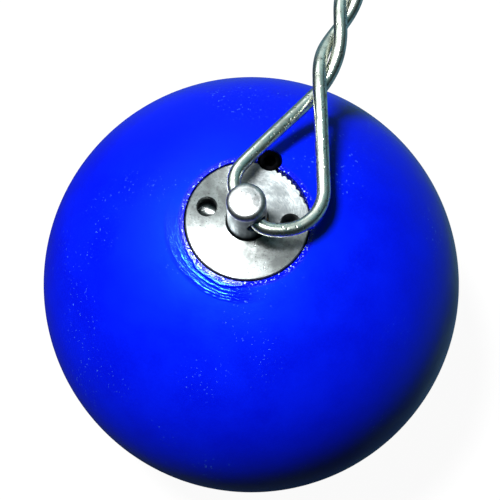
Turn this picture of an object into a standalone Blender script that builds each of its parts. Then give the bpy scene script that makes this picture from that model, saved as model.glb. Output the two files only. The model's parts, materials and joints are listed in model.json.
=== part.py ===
"""Throwing hammer, 4 kg: iron ball, ball-bearing swivel, spring wire and handle.

Metres, +Z up. The origin is the centre of the small flat that the ball rests on. The swivel spindle
stands up along +Z, and the wire runs out along +Y and down to the handle, which lies at floor level.
"""

import math

import bmesh
import bpy
from mathutils import Matrix, Vector

# Ball and its pocket
BALL_RADIUS = 0.050
REST_FLAT_RADIUS = 0.007
POCKET_RADIUS = 0.011
POCKET_FLOOR_Z = 0.0535
TRIM_SLUG_HEIGHT = 0.006
TRIM_SLUG_CHAMFER = 0.0006
GAP = 0.0003

# Retaining cap
CAP_RADIUS = 0.014
CAP_HEIGHT = 0.012
CAP_LIP_HEIGHT = 0.003
CAP_CHAMFER = 0.0005
SPANNER_HOLE_RADIUS = 0.00225
SPANNER_HOLE_DEPTH = 0.004
SPANNER_CIRCLE_RADIUS = 0.00975
SPANNER_HOLE_ANGLES = (176.5, 12.5)

# Lock screw, half in the cap and half in the ball
LOCK_SCREW_RADIUS = 0.0025
LOCK_SCREW_LENGTH = 0.008
LOCK_SCREW_SINK = 0.0008
LOCK_SCREW_CHAMFER = 0.0004
LOCK_CIRCLE_RADIUS = 0.0155
LOCK_ANGLE = 87.5
LOCK_HEX_ACROSS_FLATS = 0.0025
LOCK_HEX_DEPTH = 0.0025

# Swivel spindle
SPINDLE_RADIUS = 0.0045
SPINDLE_PROTRUSION = 0.014
SPINDLE_CROWN = 0.0003
SPINDLE_EDGE_RADIUS = 0.0014
THREAD_RADIUS = 0.004
THREAD_END_Z = 0.0645
THREAD_CHAMFER = 0.0006
BUSH_RADIUS = 0.0065
WIRE_HOLE_RADIUS = 0.0023
WIRE_HOLE_BELOW_TOP = 0.0065

# Thrust bearing, 9 x 20 x 7 mm
RACE_RADIUS = 0.010
RACE_HEIGHT = 0.0024
RACE_SPACING = 0.0022
BALL_CIRCLE_RADIUS = 0.00725
BEARING_BALL_RADIUS = 0.0015875
BEARING_BALL_COUNT = 10
GROOVE_RADIUS = 0.00178
CAGE_INNER_RADIUS = 0.0049
CAGE_OUTER_RADIUS = 0.0097
CAGE_HEIGHT = 0.0014
CAGE_HOLE_RADIUS = 0.00185

# Nut, washer and split pin
WASHER_RADIUS = 0.009
WASHER_HEIGHT = 0.0016
NUT_ACROSS_FLATS = 0.013
NUT_HEIGHT = 0.0075
NUT_SLOT_WIDTH = 0.0026
NUT_SLOT_DEPTH = 0.0030
SPLIT_PIN_WIRE_RADIUS = 0.0004
SPLIT_PIN_HALF_SPACING = 0.00055
SPLIT_PIN_REACH = 0.0082
SPLIT_PIN_EYE_RADIUS = 0.0009
SPLIT_PIN_LEG_LENGTH = 0.0022
SPLIT_PIN_LEG_BEND = 0.0006
SPLIT_PIN_EYE_BEND = 0.0004
SPLIT_PIN_HOLE_RADIUS = 0.0013

# Tether wire
WIRE_RADIUS = 0.0016
HOLE_TO_NOSE = 0.975
HINGE_ANGLE = -38.4
TWIST_RADIUS = 0.00175
TWIST_HALF_PITCH = 0.017
TWIST_HALF_TURNS = 5
TWIST_POINTS_PER_HALF_TURN = 6
TWIST_RUN_OUT = 0.020
EYE_CLOSING_LENGTH = 0.024
EYE_POINT_SPACING = 0.0025

# Head eye, in its own plane: along the wire, across it. The bends are corners of the wire's path.
HEAD_TWIST_OFFSET = 0.0068
HEAD_CROSSING = 0.034
SHORT_BEND_REACH = 0.0084
SHORT_BEND_RADIUS = 0.007
LONG_BEND_REACH = 0.0056
LONG_BEND_RADIUS = 0.005
BOW_CORNER = (0.0003, -0.0185)
BOW_RADIUS = 0.010

# Handle eye: an arc around the handle's nose
HANDLE_EYE_RADIUS = 0.0085
HANDLE_EYE_CROSSING = 0.034

# Handle
ROD_RADIUS = 0.004
NOSE_Z = 0.0105
NOSE_BEND_RADIUS = 0.011
NOSE_TO_GRIP = 0.104
ARM_SPREAD = 0.062
ARM_BEND_RADIUS = 0.008
ROD_END_REACH = 0.027
GRIP_LENGTH = 0.090
GRIP_RADIUS = 0.011
GRIP_END_RADIUS = 0.0092
GRIP_EDGE_RADIUS = 0.0012
GRIP_PIN_RADIUS = 0.0015
GRIP_PIN_OFFSET = 0.036

# Derived places
CAP_TOP_Z = BALL_RADIUS + math.sqrt(BALL_RADIUS**2 - CAP_RADIUS**2)
CAP_BOTTOM_Z = CAP_TOP_Z - CAP_HEIGHT
SPINDLE_TOP_Z = CAP_TOP_Z + SPINDLE_PROTRUSION
WIRE_HOLE_Z = SPINDLE_TOP_Z - WIRE_HOLE_BELOW_TOP
UPPER_RACE_TOP_Z = CAP_BOTTOM_Z - GAP
BALLS_Z = UPPER_RACE_TOP_Z - RACE_HEIGHT - RACE_SPACING / 2
LOWER_RACE_TOP_Z = BALLS_Z - RACE_SPACING / 2
WASHER_TOP_Z = LOWER_RACE_TOP_Z - RACE_HEIGHT - GAP
NUT_TOP_Z = WASHER_TOP_Z - WASHER_HEIGHT - GAP
NUT_BOTTOM_Z = NUT_TOP_Z - NUT_HEIGHT
SPLIT_PIN_Z = NUT_BOTTOM_Z + NUT_SLOT_DEPTH / 2
WIRE_SLOPE = math.asin((WIRE_HOLE_Z - NOSE_Z) / HOLE_TO_NOSE)

# Steps round the turned pieces and the holes
FINE_STEPS = 48
ROUND_STEPS = 32
BEARING_STEPS = 30
BORE_STEPS = 24
SCREW_STEPS = 16
PIN_STEPS = 12

STEEL = ("steel", (0.46, 0.47, 0.47, 1.0), 0.32, 1.0)
BEARING_STEEL = ("bearing_steel", (0.62, 0.63, 0.64, 1.0), 0.14, 1.0)
SPRING_WIRE = ("spring_wire", (0.50, 0.51, 0.52, 1.0), 0.28, 1.0)
PAINTED_IRON = ("painted_iron", (0.004, 0.045, 0.80, 1.0), 0.18, 0.0)
BLACK_OXIDE = ("black_oxide", (0.02, 0.02, 0.022, 1.0), 0.45, 1.0)
BRASS = ("brass", (0.72, 0.50, 0.18, 1.0), 0.35, 1.0)
BRONZE = ("bronze", (0.50, 0.29, 0.13, 1.0), 0.40, 1.0)
LEAD = ("lead", (0.20, 0.20, 0.22, 1.0), 0.60, 1.0)
ALUMINIUM = ("aluminium", (0.70, 0.71, 0.72, 1.0), 0.35, 1.0)


def clear_scene():
    for obj in list(bpy.data.objects):
        bpy.data.objects.remove(obj, do_unlink=True)


def new_collection(name):
    collection = bpy.data.collections.new(name)
    bpy.context.scene.collection.children.link(collection)
    return collection


def material(spec):
    name, colour, roughness, metallic = spec
    found = bpy.data.materials.get(name)
    if found:
        return found
    made = bpy.data.materials.new(name)
    made.use_nodes = True
    shader = made.node_tree.nodes["Principled BSDF"]
    shader.inputs["Base Color"].default_value = colour
    shader.inputs["Roughness"].default_value = roughness
    shader.inputs["Metallic"].default_value = metallic
    return made


def add_object(name, data, collection, spec=None, matrix=None):
    obj = bpy.data.objects.new(name, data)
    collection.objects.link(obj)
    if spec:
        data.materials.append(material(spec))
    if matrix:
        obj.matrix_world = matrix
    return obj


def smooth_shading(mesh):
    mesh.shade_smooth()
    mesh.set_sharp_from_angle(angle=math.radians(35))


def turned(name, profile, collection, spec, steps=ROUND_STEPS, matrix=None):
    """A body of revolution about its own Z, from (radius, z) points that run down the outer side."""
    mesh = bpy.data.meshes.new(name)
    work = bmesh.new()
    verts = [work.verts.new((radius, 0.0, z)) for radius, z in profile]
    for upper, lower in zip(verts, verts[1:]):
        work.edges.new((upper, lower))
    if profile[0][0] > 0.0:
        work.edges.new((verts[-1], verts[0]))
    work.to_mesh(mesh)
    work.free()
    obj = add_object(name, mesh, collection, spec, matrix)
    screw = obj.modifiers.new("turn", "SCREW")
    screw.axis = "Z"
    screw.steps = steps
    screw.render_steps = steps
    screw.use_merge_vertices = True
    screw.merge_threshold = 0.00001
    screw.use_smooth_shade = True
    return obj


def arc(centre, radius, start, end, count):
    """Points on an arc in a plane, angles in degrees."""
    points = []
    for index in range(count + 1):
        angle = math.radians(start + (end - start) * index / count)
        points.append((centre[0] + radius * math.cos(angle), centre[1] + radius * math.sin(angle)))
    return points


def polar(radius, angle_deg, z=0.0):
    angle = math.radians(angle_deg)
    return Vector((radius * math.cos(angle), radius * math.sin(angle), z))


def cylinder_mesh(name, radius, length, segments, places):
    """Upright cylinders of one size, centred on each of the places."""
    mesh = bpy.data.meshes.new(name)
    work = bmesh.new()
    for place in places:
        bmesh.ops.create_cone(work, cap_ends=True, segments=segments, radius1=radius, radius2=radius,
                              depth=length, matrix=Matrix.Translation(place))
    work.to_mesh(mesh)
    work.free()
    return mesh


def box_mesh(name, size, matrix):
    mesh = bpy.data.meshes.new(name)
    work = bmesh.new()
    bmesh.ops.create_cube(work, size=1.0, matrix=matrix @ Matrix.Diagonal((*size, 1.0)))
    work.to_mesh(mesh)
    work.free()
    return mesh


def cutter(name, mesh, cutters, matrix=None):
    obj = add_object(name, mesh, cutters, matrix=matrix)
    obj.hide_render = True
    obj.display_type = "WIRE"
    return obj


def cut(obj, tool):
    boolean = obj.modifiers.new("cut_" + tool.name, "BOOLEAN")
    boolean.operation = "DIFFERENCE"
    boolean.solver = "EXACT"
    boolean.object = tool


def rounded_path(corners, radii, arc_points=5):
    """A path through the corners, in which each inner corner is an arc that meets both of its sides."""
    points = [corners[0]]
    for before, corner, after, radius in zip(corners, corners[1:], corners[2:], radii):
        back = (before - corner).normalized()
        ahead = (after - corner).normalized()
        turn = math.pi - back.angle(ahead)
        reach = radius * math.tan(turn / 2)
        middle = (back + ahead).normalized()
        centre = corner + middle * (radius / math.cos(turn / 2))
        first = corner + back * reach - centre
        last = corner + ahead * reach - centre
        for index in range(arc_points + 1):
            step = index / arc_points
            along = (first * math.sin((1 - step) * turn) + last * math.sin(step * turn)) / math.sin(turn)
            points.append(centre + along)
    points.append(corners[-1])
    return points


def resample(points, spacing):
    """The same path with points at an even spacing."""
    lengths = [0.0]
    for before, after in zip(points, points[1:]):
        lengths.append(lengths[-1] + (after - before).length)
    count = round(lengths[-1] / spacing)
    result = []
    segment = 0
    for index in range(count + 1):
        target = lengths[-1] * index / count
        while segment < len(points) - 2 and lengths[segment + 1] < target:
            segment += 1
        share = (target - lengths[segment]) / (lengths[segment + 1] - lengths[segment])
        result.append(points[segment].lerp(points[segment + 1], share))
    return result


def tube_mesh(name, points, radius, sides_resolution=2):
    """The closed mesh of a round wire along the points."""
    curve = bpy.data.curves.new(name + "_path", "CURVE")
    curve.dimensions = "3D"
    curve.bevel_depth = radius
    curve.bevel_resolution = sides_resolution
    curve.use_fill_caps = True
    spline = curve.splines.new("POLY")
    spline.points.add(len(points) - 1)
    for point, place in zip(spline.points, points):
        point.co = (*place, 1.0)
    path = bpy.data.objects.new(name + "_path", curve)
    bpy.context.scene.collection.objects.link(path)
    depsgraph = bpy.context.evaluated_depsgraph_get()
    mesh = bpy.data.meshes.new_from_object(path.evaluated_get(depsgraph))
    mesh.name = name
    bpy.data.objects.remove(path, do_unlink=True)
    work = bmesh.new()
    work.from_mesh(mesh)
    bmesh.ops.remove_doubles(work, verts=work.verts, dist=0.000001)
    work.to_mesh(mesh)
    work.free()
    mesh.materials.clear()
    return mesh


def cut_lock_hole(obj, cutters):
    """The hole on the joint line of cap and ball, deep enough for the lock screw."""
    name = "lock_hole_in_" + obj.name
    depth = LOCK_SCREW_LENGTH + LOCK_SCREW_SINK + GAP
    place = polar(LOCK_CIRCLE_RADIUS, LOCK_ANGLE, CAP_TOP_Z)
    mesh = cylinder_mesh(name, LOCK_SCREW_RADIUS + GAP, 2 * depth, SCREW_STEPS, [place])
    cut(obj, cutter(name, mesh, cutters))


def make_head_ball(parts, cutters):
    bore = CAP_RADIUS + GAP
    rim_z = BALL_RADIUS + math.sqrt(BALL_RADIUS**2 - bore**2)
    rim_angle = math.degrees(math.acos(bore / BALL_RADIUS))
    flat_angle = -math.degrees(math.acos(REST_FLAT_RADIUS / BALL_RADIUS))
    seat_z = CAP_BOTTOM_Z - GAP
    profile = [(0.0, POCKET_FLOOR_Z), (POCKET_RADIUS, POCKET_FLOOR_Z), (POCKET_RADIUS, seat_z),
               (bore, seat_z), (bore, rim_z)]
    profile += arc((0.0, BALL_RADIUS), BALL_RADIUS, rim_angle, flat_angle, 18)[1:-1]
    profile += [(REST_FLAT_RADIUS, 0.0), (0.0, 0.0)]
    ball = turned("head_ball", profile, parts, PAINTED_IRON, FINE_STEPS)
    cut_lock_hole(ball, cutters)


def make_trim_slug(parts):
    bottom = POCKET_FLOOR_Z + GAP
    radius = POCKET_RADIUS - GAP
    top = bottom + TRIM_SLUG_HEIGHT
    profile = [(0.0, top), (radius - TRIM_SLUG_CHAMFER, top), (radius, top - TRIM_SLUG_CHAMFER),
               (radius, bottom), (0.0, bottom)]
    turned("trim_slug", profile, parts, LEAD)


def make_retaining_cap(parts, cutters):
    bore = SPINDLE_RADIUS + GAP
    bush_bore = BUSH_RADIUS + GAP
    shoulder_z = CAP_TOP_Z - CAP_LIP_HEIGHT
    profile = [(bore, CAP_TOP_Z), (CAP_RADIUS - CAP_CHAMFER, CAP_TOP_Z),
               (CAP_RADIUS, CAP_TOP_Z - CAP_CHAMFER), (CAP_RADIUS, CAP_BOTTOM_Z),
               (bush_bore, CAP_BOTTOM_Z), (bush_bore, shoulder_z), (bore, shoulder_z)]
    cap = turned("retaining_cap", profile, parts, STEEL, FINE_STEPS)
    places = [polar(SPANNER_CIRCLE_RADIUS, angle, CAP_TOP_Z) for angle in SPANNER_HOLE_ANGLES]
    mesh = cylinder_mesh("spanner_holes", SPANNER_HOLE_RADIUS, 2 * SPANNER_HOLE_DEPTH, SCREW_STEPS, places)
    cut(cap, cutter("spanner_holes", mesh, cutters))
    cut_lock_hole(cap, cutters)


def make_lock_screw(parts, cutters):
    top = CAP_TOP_Z - LOCK_SCREW_SINK
    bottom = top - LOCK_SCREW_LENGTH
    chamfer = LOCK_SCREW_CHAMFER
    profile = [(0.0, top), (LOCK_SCREW_RADIUS - chamfer, top), (LOCK_SCREW_RADIUS, top - chamfer),
               (LOCK_SCREW_RADIUS, bottom + 2 * chamfer), (LOCK_SCREW_RADIUS - 2 * chamfer, bottom),
               (0.0, bottom)]
    place = Matrix.Translation(polar(LOCK_CIRCLE_RADIUS, LOCK_ANGLE))
    screw = turned("lock_screw", profile, parts, BLACK_OXIDE, SCREW_STEPS, place)
    across_corners = LOCK_HEX_ACROSS_FLATS / math.cos(math.pi / 6)
    socket_top = [Vector((0.0, 0.0, top))]
    mesh = cylinder_mesh("lock_hex", across_corners / 2, 2 * LOCK_HEX_DEPTH, 6, socket_top)
    cut(screw, cutter("lock_hex", mesh, cutters, place))


def make_guide_bush(parts):
    top = CAP_TOP_Z - CAP_LIP_HEIGHT - GAP
    bore = SPINDLE_RADIUS + GAP
    profile = [(bore, top), (BUSH_RADIUS, top), (BUSH_RADIUS, CAP_BOTTOM_Z), (bore, CAP_BOTTOM_Z)]
    turned("guide_bush", profile, parts, BRONZE)


def hinge_matrix():
    """Places an upright cutter along the hinge axis of the wire's eye."""
    turn = Matrix.Rotation(math.radians(HINGE_ANGLE), 4, "Z") @ Matrix.Rotation(math.pi / 2, 4, "Y")
    return Matrix.Translation((0.0, 0.0, WIRE_HOLE_Z)) @ turn


def make_spindle(parts, cutters):
    shoulder_z = WASHER_TOP_Z
    chamfer = THREAD_CHAMFER
    face_radius = SPINDLE_RADIUS - SPINDLE_EDGE_RADIUS
    edge_centre = (face_radius, SPINDLE_TOP_Z - SPINDLE_CROWN - SPINDLE_EDGE_RADIUS)
    profile = [(0.0, SPINDLE_TOP_Z)] + arc(edge_centre, SPINDLE_EDGE_RADIUS, 90, 0, 4)
    profile += [(SPINDLE_RADIUS, shoulder_z), (THREAD_RADIUS, shoulder_z - chamfer),
                (THREAD_RADIUS, THREAD_END_Z + chamfer), (THREAD_RADIUS - chamfer, THREAD_END_Z),
                (0.0, THREAD_END_Z)]
    spindle = turned("swivel_spindle", profile, parts, STEEL)
    origin = [Vector((0.0, 0.0, 0.0))]
    mesh = cylinder_mesh("wire_hole", WIRE_HOLE_RADIUS, 4 * SPINDLE_RADIUS, SCREW_STEPS, origin)
    cut(spindle, cutter("wire_hole", mesh, cutters, hinge_matrix()))
    mesh = cylinder_mesh("split_pin_hole", SPLIT_PIN_HOLE_RADIUS, 4 * SPINDLE_RADIUS, PIN_STEPS, origin)
    across = Matrix.Translation((0.0, 0.0, SPLIT_PIN_Z)) @ Matrix.Rotation(math.pi / 2, 4, "Y")
    cut(spindle, cutter("split_pin_hole", mesh, cutters, across))


def race_profile(bore, outer, flat_z, groove_side):
    """A race from its flat back to its grooved face, which faces up for groove_side +1 and down for -1."""
    face_z = flat_z + groove_side * RACE_HEIGHT
    centre = (BALL_CIRCLE_RADIUS, face_z + groove_side * RACE_SPACING / 2)
    half_angle = math.degrees(math.acos(RACE_SPACING / 2 / GROOVE_RADIUS))
    if groove_side < 0:
        groove = arc(centre, GROOVE_RADIUS, 90 - half_angle, 90 + half_angle, 4)
        return [(bore, flat_z), (outer, flat_z), (outer, face_z)] + groove + [(bore, face_z)]
    groove = arc(centre, GROOVE_RADIUS, -90 - half_angle, -90 + half_angle, 4)
    return [(bore, face_z)] + groove + [(outer, face_z), (outer, flat_z), (bore, flat_z)]


def make_bearing(parts, cutters):
    loose_bore = SPINDLE_RADIUS + 2 * GAP
    close_bore = SPINDLE_RADIUS + GAP
    upper = race_profile(loose_bore, RACE_RADIUS, UPPER_RACE_TOP_Z, -1)
    turned("upper_race", upper, parts, BEARING_STEEL, BEARING_STEPS)
    lower = race_profile(close_bore, RACE_RADIUS, LOWER_RACE_TOP_Z - RACE_HEIGHT, 1)
    turned("lower_race", lower, parts, BEARING_STEEL, BEARING_STEPS)

    top = BALLS_Z + CAGE_HEIGHT / 2
    bottom = BALLS_Z - CAGE_HEIGHT / 2
    profile = [(CAGE_INNER_RADIUS, top), (CAGE_OUTER_RADIUS, top), (CAGE_OUTER_RADIUS, bottom),
               (CAGE_INNER_RADIUS, bottom)]
    cage = turned("ball_cage", profile, parts, BRASS, BEARING_STEPS)
    pitch = 360 / BEARING_BALL_COUNT
    places = [polar(BALL_CIRCLE_RADIUS, index * pitch, BALLS_Z) for index in range(BEARING_BALL_COUNT)]
    mesh = cylinder_mesh("cage_holes", CAGE_HOLE_RADIUS, 4 * CAGE_HEIGHT, PIN_STEPS, places)
    cut(cage, cutter("cage_holes", mesh, cutters))

    mesh = bpy.data.meshes.new("bearing_ball")
    work = bmesh.new()
    bmesh.ops.create_uvsphere(work, u_segments=10, v_segments=6, radius=BEARING_BALL_RADIUS)
    work.to_mesh(mesh)
    work.free()
    mesh.materials.append(material(BEARING_STEEL))
    smooth_shading(mesh)
    for index, place in enumerate(places):
        ball = add_object(f"bearing_ball_{index + 1:02d}", mesh, parts)
        ball.location = place


def make_nut_and_washer(parts, cutters):
    bore = THREAD_RADIUS + GAP
    bottom = WASHER_TOP_Z - WASHER_HEIGHT
    # The washer's bore clears the taper between the spindle's shank and its thread.
    washer_bore = SPINDLE_RADIUS + GAP
    profile = [(washer_bore, WASHER_TOP_Z), (WASHER_RADIUS, WASHER_TOP_Z), (WASHER_RADIUS, bottom),
               (washer_bore, bottom)]
    turned("spindle_washer", profile, parts, STEEL)

    corner_radius = NUT_ACROSS_FLATS / 2 / math.cos(math.pi / 6)
    middle = Vector((0.0, 0.0, (NUT_TOP_Z + NUT_BOTTOM_Z) / 2))
    mesh = cylinder_mesh("spindle_nut", corner_radius, NUT_HEIGHT, 6, [middle])
    nut = add_object("spindle_nut", mesh, parts, STEEL)
    mesh = cylinder_mesh("nut_bore", bore, 2 * NUT_HEIGHT, BORE_STEPS, [middle])
    cut(nut, cutter("nut_bore", mesh, cutters))
    centre = Matrix.Translation((0.0, 0.0, NUT_BOTTOM_Z))
    size = (4 * corner_radius, NUT_SLOT_WIDTH, 2 * NUT_SLOT_DEPTH)
    for index in range(3):
        turn = Matrix.Rotation(math.radians(60 * index), 4, "Z")
        mesh = box_mesh(f"nut_slot_{index}", size, centre @ turn)
        cut(nut, cutter(f"nut_slot_{index}", mesh, cutters))


def make_split_pin(parts):
    """One wire folded in half: eye at one side of the nut, two legs bent apart at the other."""
    half = SPLIT_PIN_HALF_SPACING
    eye = SPLIT_PIN_EYE_RADIUS
    reach = SPLIT_PIN_REACH
    upper_half = [(reach, half + SPLIT_PIN_LEG_LENGTH), (reach, half), (-reach, half),
                  (-reach - eye, 2 * half)]
    outline = upper_half + [(-reach - 2 * eye, 0.0)] + [(x, -z) for x, z in upper_half[::-1]]
    corners = [Vector((x, 0.0, SPLIT_PIN_Z + z)) for x, z in outline]
    half_radii = [SPLIT_PIN_LEG_BEND, SPLIT_PIN_EYE_BEND, SPLIT_PIN_EYE_BEND]
    points = rounded_path(corners, half_radii + [SPLIT_PIN_LEG_BEND] + half_radii[::-1], 3)
    mesh = tube_mesh("split_pin", points, SPLIT_PIN_WIRE_RADIUS, 0)
    smooth_shading(mesh)
    add_object("split_pin", mesh, parts, STEEL)


def frame_from_axes(origin, along, normal):
    """Local X along the wire, local Z along the plane's normal."""
    side = normal.cross(along)
    matrix = Matrix.Identity(4)
    matrix.col[0][:3] = along
    matrix.col[1][:3] = side
    matrix.col[2][:3] = normal
    matrix.col[3][:3] = origin
    return matrix


def wire_direction():
    return Vector((0.0, math.cos(WIRE_SLOPE), -math.sin(WIRE_SLOPE)))


def head_eye_frame():
    hinge = polar(1.0, HINGE_ANGLE)
    normal = hinge.cross(wire_direction()).normalized()
    return frame_from_axes(Vector((0.0, 0.0, WIRE_HOLE_Z)), wire_direction(), normal)


def nose_centre():
    """Centre of the handle's rod at its nose, on the line of the twist."""
    frame = head_eye_frame()
    return frame @ Vector((HOLE_TO_NOSE, -HEAD_TWIST_OFFSET, 0.0))


def handle_eye_frame():
    return frame_from_axes(nose_centre(), -wire_direction(), Vector((1.0, 0.0, 0.0)))


def head_eye_path():
    """The eye that passes through the spindle, from the long strand round to the short one."""
    frame = head_eye_frame()
    hinge = frame.to_3x3().inverted() @ polar(1.0, HINGE_ANGLE)
    crossing = Vector((HEAD_CROSSING, -HEAD_TWIST_OFFSET, 0.0))
    corners = [crossing, Vector((*BOW_CORNER, 0.0)), hinge * LONG_BEND_REACH, hinge * -SHORT_BEND_REACH,
               crossing]
    return rounded_path(corners, [BOW_RADIUS, LONG_BEND_RADIUS, SHORT_BEND_RADIUS])


def handle_eye_path():
    """A teardrop: two tangents from the crossing to an arc that goes round the nose."""
    inner_gap = 2 * GAP
    centre_x = HANDLE_EYE_RADIUS - ROD_RADIUS - inner_gap - WIRE_RADIUS
    crossing = Vector((HANDLE_EYE_CROSSING, 0.0, 0.0))
    tangent = math.degrees(math.acos(HANDLE_EYE_RADIUS / (HANDLE_EYE_CROSSING - centre_x)))
    bow = arc((centre_x, 0.0), HANDLE_EYE_RADIUS, -tangent, tangent - 360, 12)
    return [crossing] + [Vector((x, y, 0.0)) for x, y in bow] + [crossing]


def twist_point(distance, radius, start_angle, offset):
    angle = math.radians(start_angle) - math.pi * distance / TWIST_HALF_PITCH
    return Vector((distance, radius * math.cos(angle) - offset, radius * math.sin(angle)))


def looped_end(frame, eye, crossing, offset):
    """One end of the wire: cut end, twist, eye, twist, and the run out to the straight middle."""
    eye = resample(eye, EYE_POINT_SPACING)
    count = len(eye) - 1
    for index, point in enumerate(eye):
        from_crossing = min(index, count - index) * EYE_POINT_SPACING
        share = min(1.0, from_crossing / EYE_CLOSING_LENGTH)
        side = 1 if index < count / 2 else -1
        point.z = side * TWIST_RADIUS * (1 + math.cos(math.pi * share)) / 2

    steps = TWIST_HALF_TURNS * TWIST_POINTS_PER_HALF_TURN
    length = TWIST_HALF_TURNS * TWIST_HALF_PITCH
    shift = Vector((crossing, 0.0, 0.0))
    tail = []
    standing = []
    for index in range(1, steps + 1):
        distance = length * index / steps
        tail.append(shift + twist_point(distance, TWIST_RADIUS, 90, offset))
        standing.append(shift + twist_point(distance, TWIST_RADIUS, -90, offset))
    run_out_steps = TWIST_POINTS_PER_HALF_TURN
    for index in range(1, run_out_steps + 1):
        share = index / run_out_steps
        radius = TWIST_RADIUS * (1 + math.cos(math.pi * share)) / 2
        standing.append(shift + twist_point(length + TWIST_RUN_OUT * share, radius, -90, offset))
    path = tail[::-1] + eye + standing
    softened = [path[0]]
    for before, point, after in zip(path, path[1:], path[2:]):
        softened.append((before + 2 * point + after) / 4)
    softened.append(path[-1])
    return [frame @ point for point in softened]


def make_tether_wire(parts):
    head_end = looped_end(head_eye_frame(), head_eye_path(), HEAD_CROSSING, HEAD_TWIST_OFFSET)
    handle_end = looped_end(handle_eye_frame(), handle_eye_path(), HANDLE_EYE_CROSSING, 0.0)
    hinge = Vector((0.0, 0.0, WIRE_HOLE_Z))
    points = [point - hinge for point in head_end + handle_end[::-1]]
    mesh = tube_mesh("tether_wire", points, WIRE_RADIUS)
    smooth_shading(mesh)
    wire = add_object("tether_wire", mesh, parts, SPRING_WIRE)
    wire.location = hinge


def handle_matrix():
    """Handle frame: origin at the nose, X along the grip, Y from the nose to the grip, Z up."""
    lift = math.asin((GRIP_RADIUS - nose_centre().z) / NOSE_TO_GRIP)
    return Matrix.Translation(nose_centre()) @ Matrix.Rotation(lift, 4, "X")


def make_handle(parts, cutters):
    place = handle_matrix()
    # The arms are tangents to the nose bend, whose outer end passes through the origin.
    to_centre = Vector((ARM_SPREAD, NOSE_TO_GRIP - NOSE_BEND_RADIUS))
    half_angle = math.atan2(to_centre.x, to_centre.y) - math.asin(NOSE_BEND_RADIUS / to_centre.length)
    nose = NOSE_BEND_RADIUS * (1 / math.sin(half_angle) - 1)
    corners = [Vector((-ROD_END_REACH, NOSE_TO_GRIP, 0.0)), Vector((-ARM_SPREAD, NOSE_TO_GRIP, 0.0)),
               Vector((0.0, -nose, 0.0)), Vector((ARM_SPREAD, NOSE_TO_GRIP, 0.0)),
               Vector((ROD_END_REACH, NOSE_TO_GRIP, 0.0))]
    points = rounded_path(corners, [ARM_BEND_RADIUS, NOSE_BEND_RADIUS, ARM_BEND_RADIUS], 9)
    mesh = tube_mesh("handle_frame", points, ROD_RADIUS, 4)
    smooth_shading(mesh)
    frame = add_object("handle_frame", mesh, parts, STEEL, place)

    half = GRIP_LENGTH / 2
    bore = ROD_RADIUS + GAP
    profile = [(bore, half), (GRIP_END_RADIUS - GRIP_EDGE_RADIUS, half)]
    bulge = GRIP_RADIUS - GRIP_END_RADIUS
    barrel_half = half - GRIP_EDGE_RADIUS
    for index in range(9):
        z = barrel_half * (1 - index / 4)
        profile.append((GRIP_END_RADIUS + bulge * (1 - (z / barrel_half)**2), z))
    profile += [(GRIP_END_RADIUS - GRIP_EDGE_RADIUS, -half), (bore, -half)]
    lie_along_x = Matrix.Rotation(math.pi / 2, 4, "Y")
    centre = place @ Matrix.Translation((0.0, NOSE_TO_GRIP, 0.0))
    grip = turned("handle_grip", profile, parts, ALUMINIUM, ROUND_STEPS, centre @ lie_along_x)

    sides = (("left", -1), ("right", 1))
    places = [Vector((side * GRIP_PIN_OFFSET, NOSE_TO_GRIP, 0.0)) for _, side in sides]
    mesh = cylinder_mesh("grip_pin_holes", GRIP_PIN_RADIUS + GAP, 4 * GRIP_RADIUS, PIN_STEPS, places)
    holes = cutter("grip_pin_holes", mesh, cutters, place)
    cut(frame, holes)
    cut(grip, holes)
    # The pins end flush with the grip where it is thinnest.
    pin_length = 2 * (GRIP_END_RADIUS - GAP)
    for (label, _), spot in zip(sides, places):
        name = f"grip_pin_{label}"
        mesh = cylinder_mesh(name, GRIP_PIN_RADIUS, pin_length, PIN_STEPS, [Vector((0.0, 0.0, 0.0))])
        smooth_shading(mesh)
        add_object(name, mesh, parts, STEEL, place @ Matrix.Translation(spot))


def main():
    clear_scene()
    parts = new_collection("throwing_hammer")
    cutters = new_collection("cutters")
    make_head_ball(parts, cutters)
    make_trim_slug(parts)
    make_retaining_cap(parts, cutters)
    make_lock_screw(parts, cutters)
    make_guide_bush(parts)
    make_spindle(parts, cutters)
    make_bearing(parts, cutters)
    make_nut_and_washer(parts, cutters)
    make_split_pin(parts)
    make_tether_wire(parts)
    make_handle(parts, cutters)


main()
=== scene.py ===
"""The looks of a throwing hammer: fine surfaces, materials, studio and camera around its CAD model.

Metres, in the CAD model's frame: +Z up, the ball rests on the origin and the wire runs out along +Y.
A plan angle is in degrees about +Z, counter-clockwise from +X.
"""

import json
import math

import bpy
from mathutils import Matrix, Vector, noise


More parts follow.
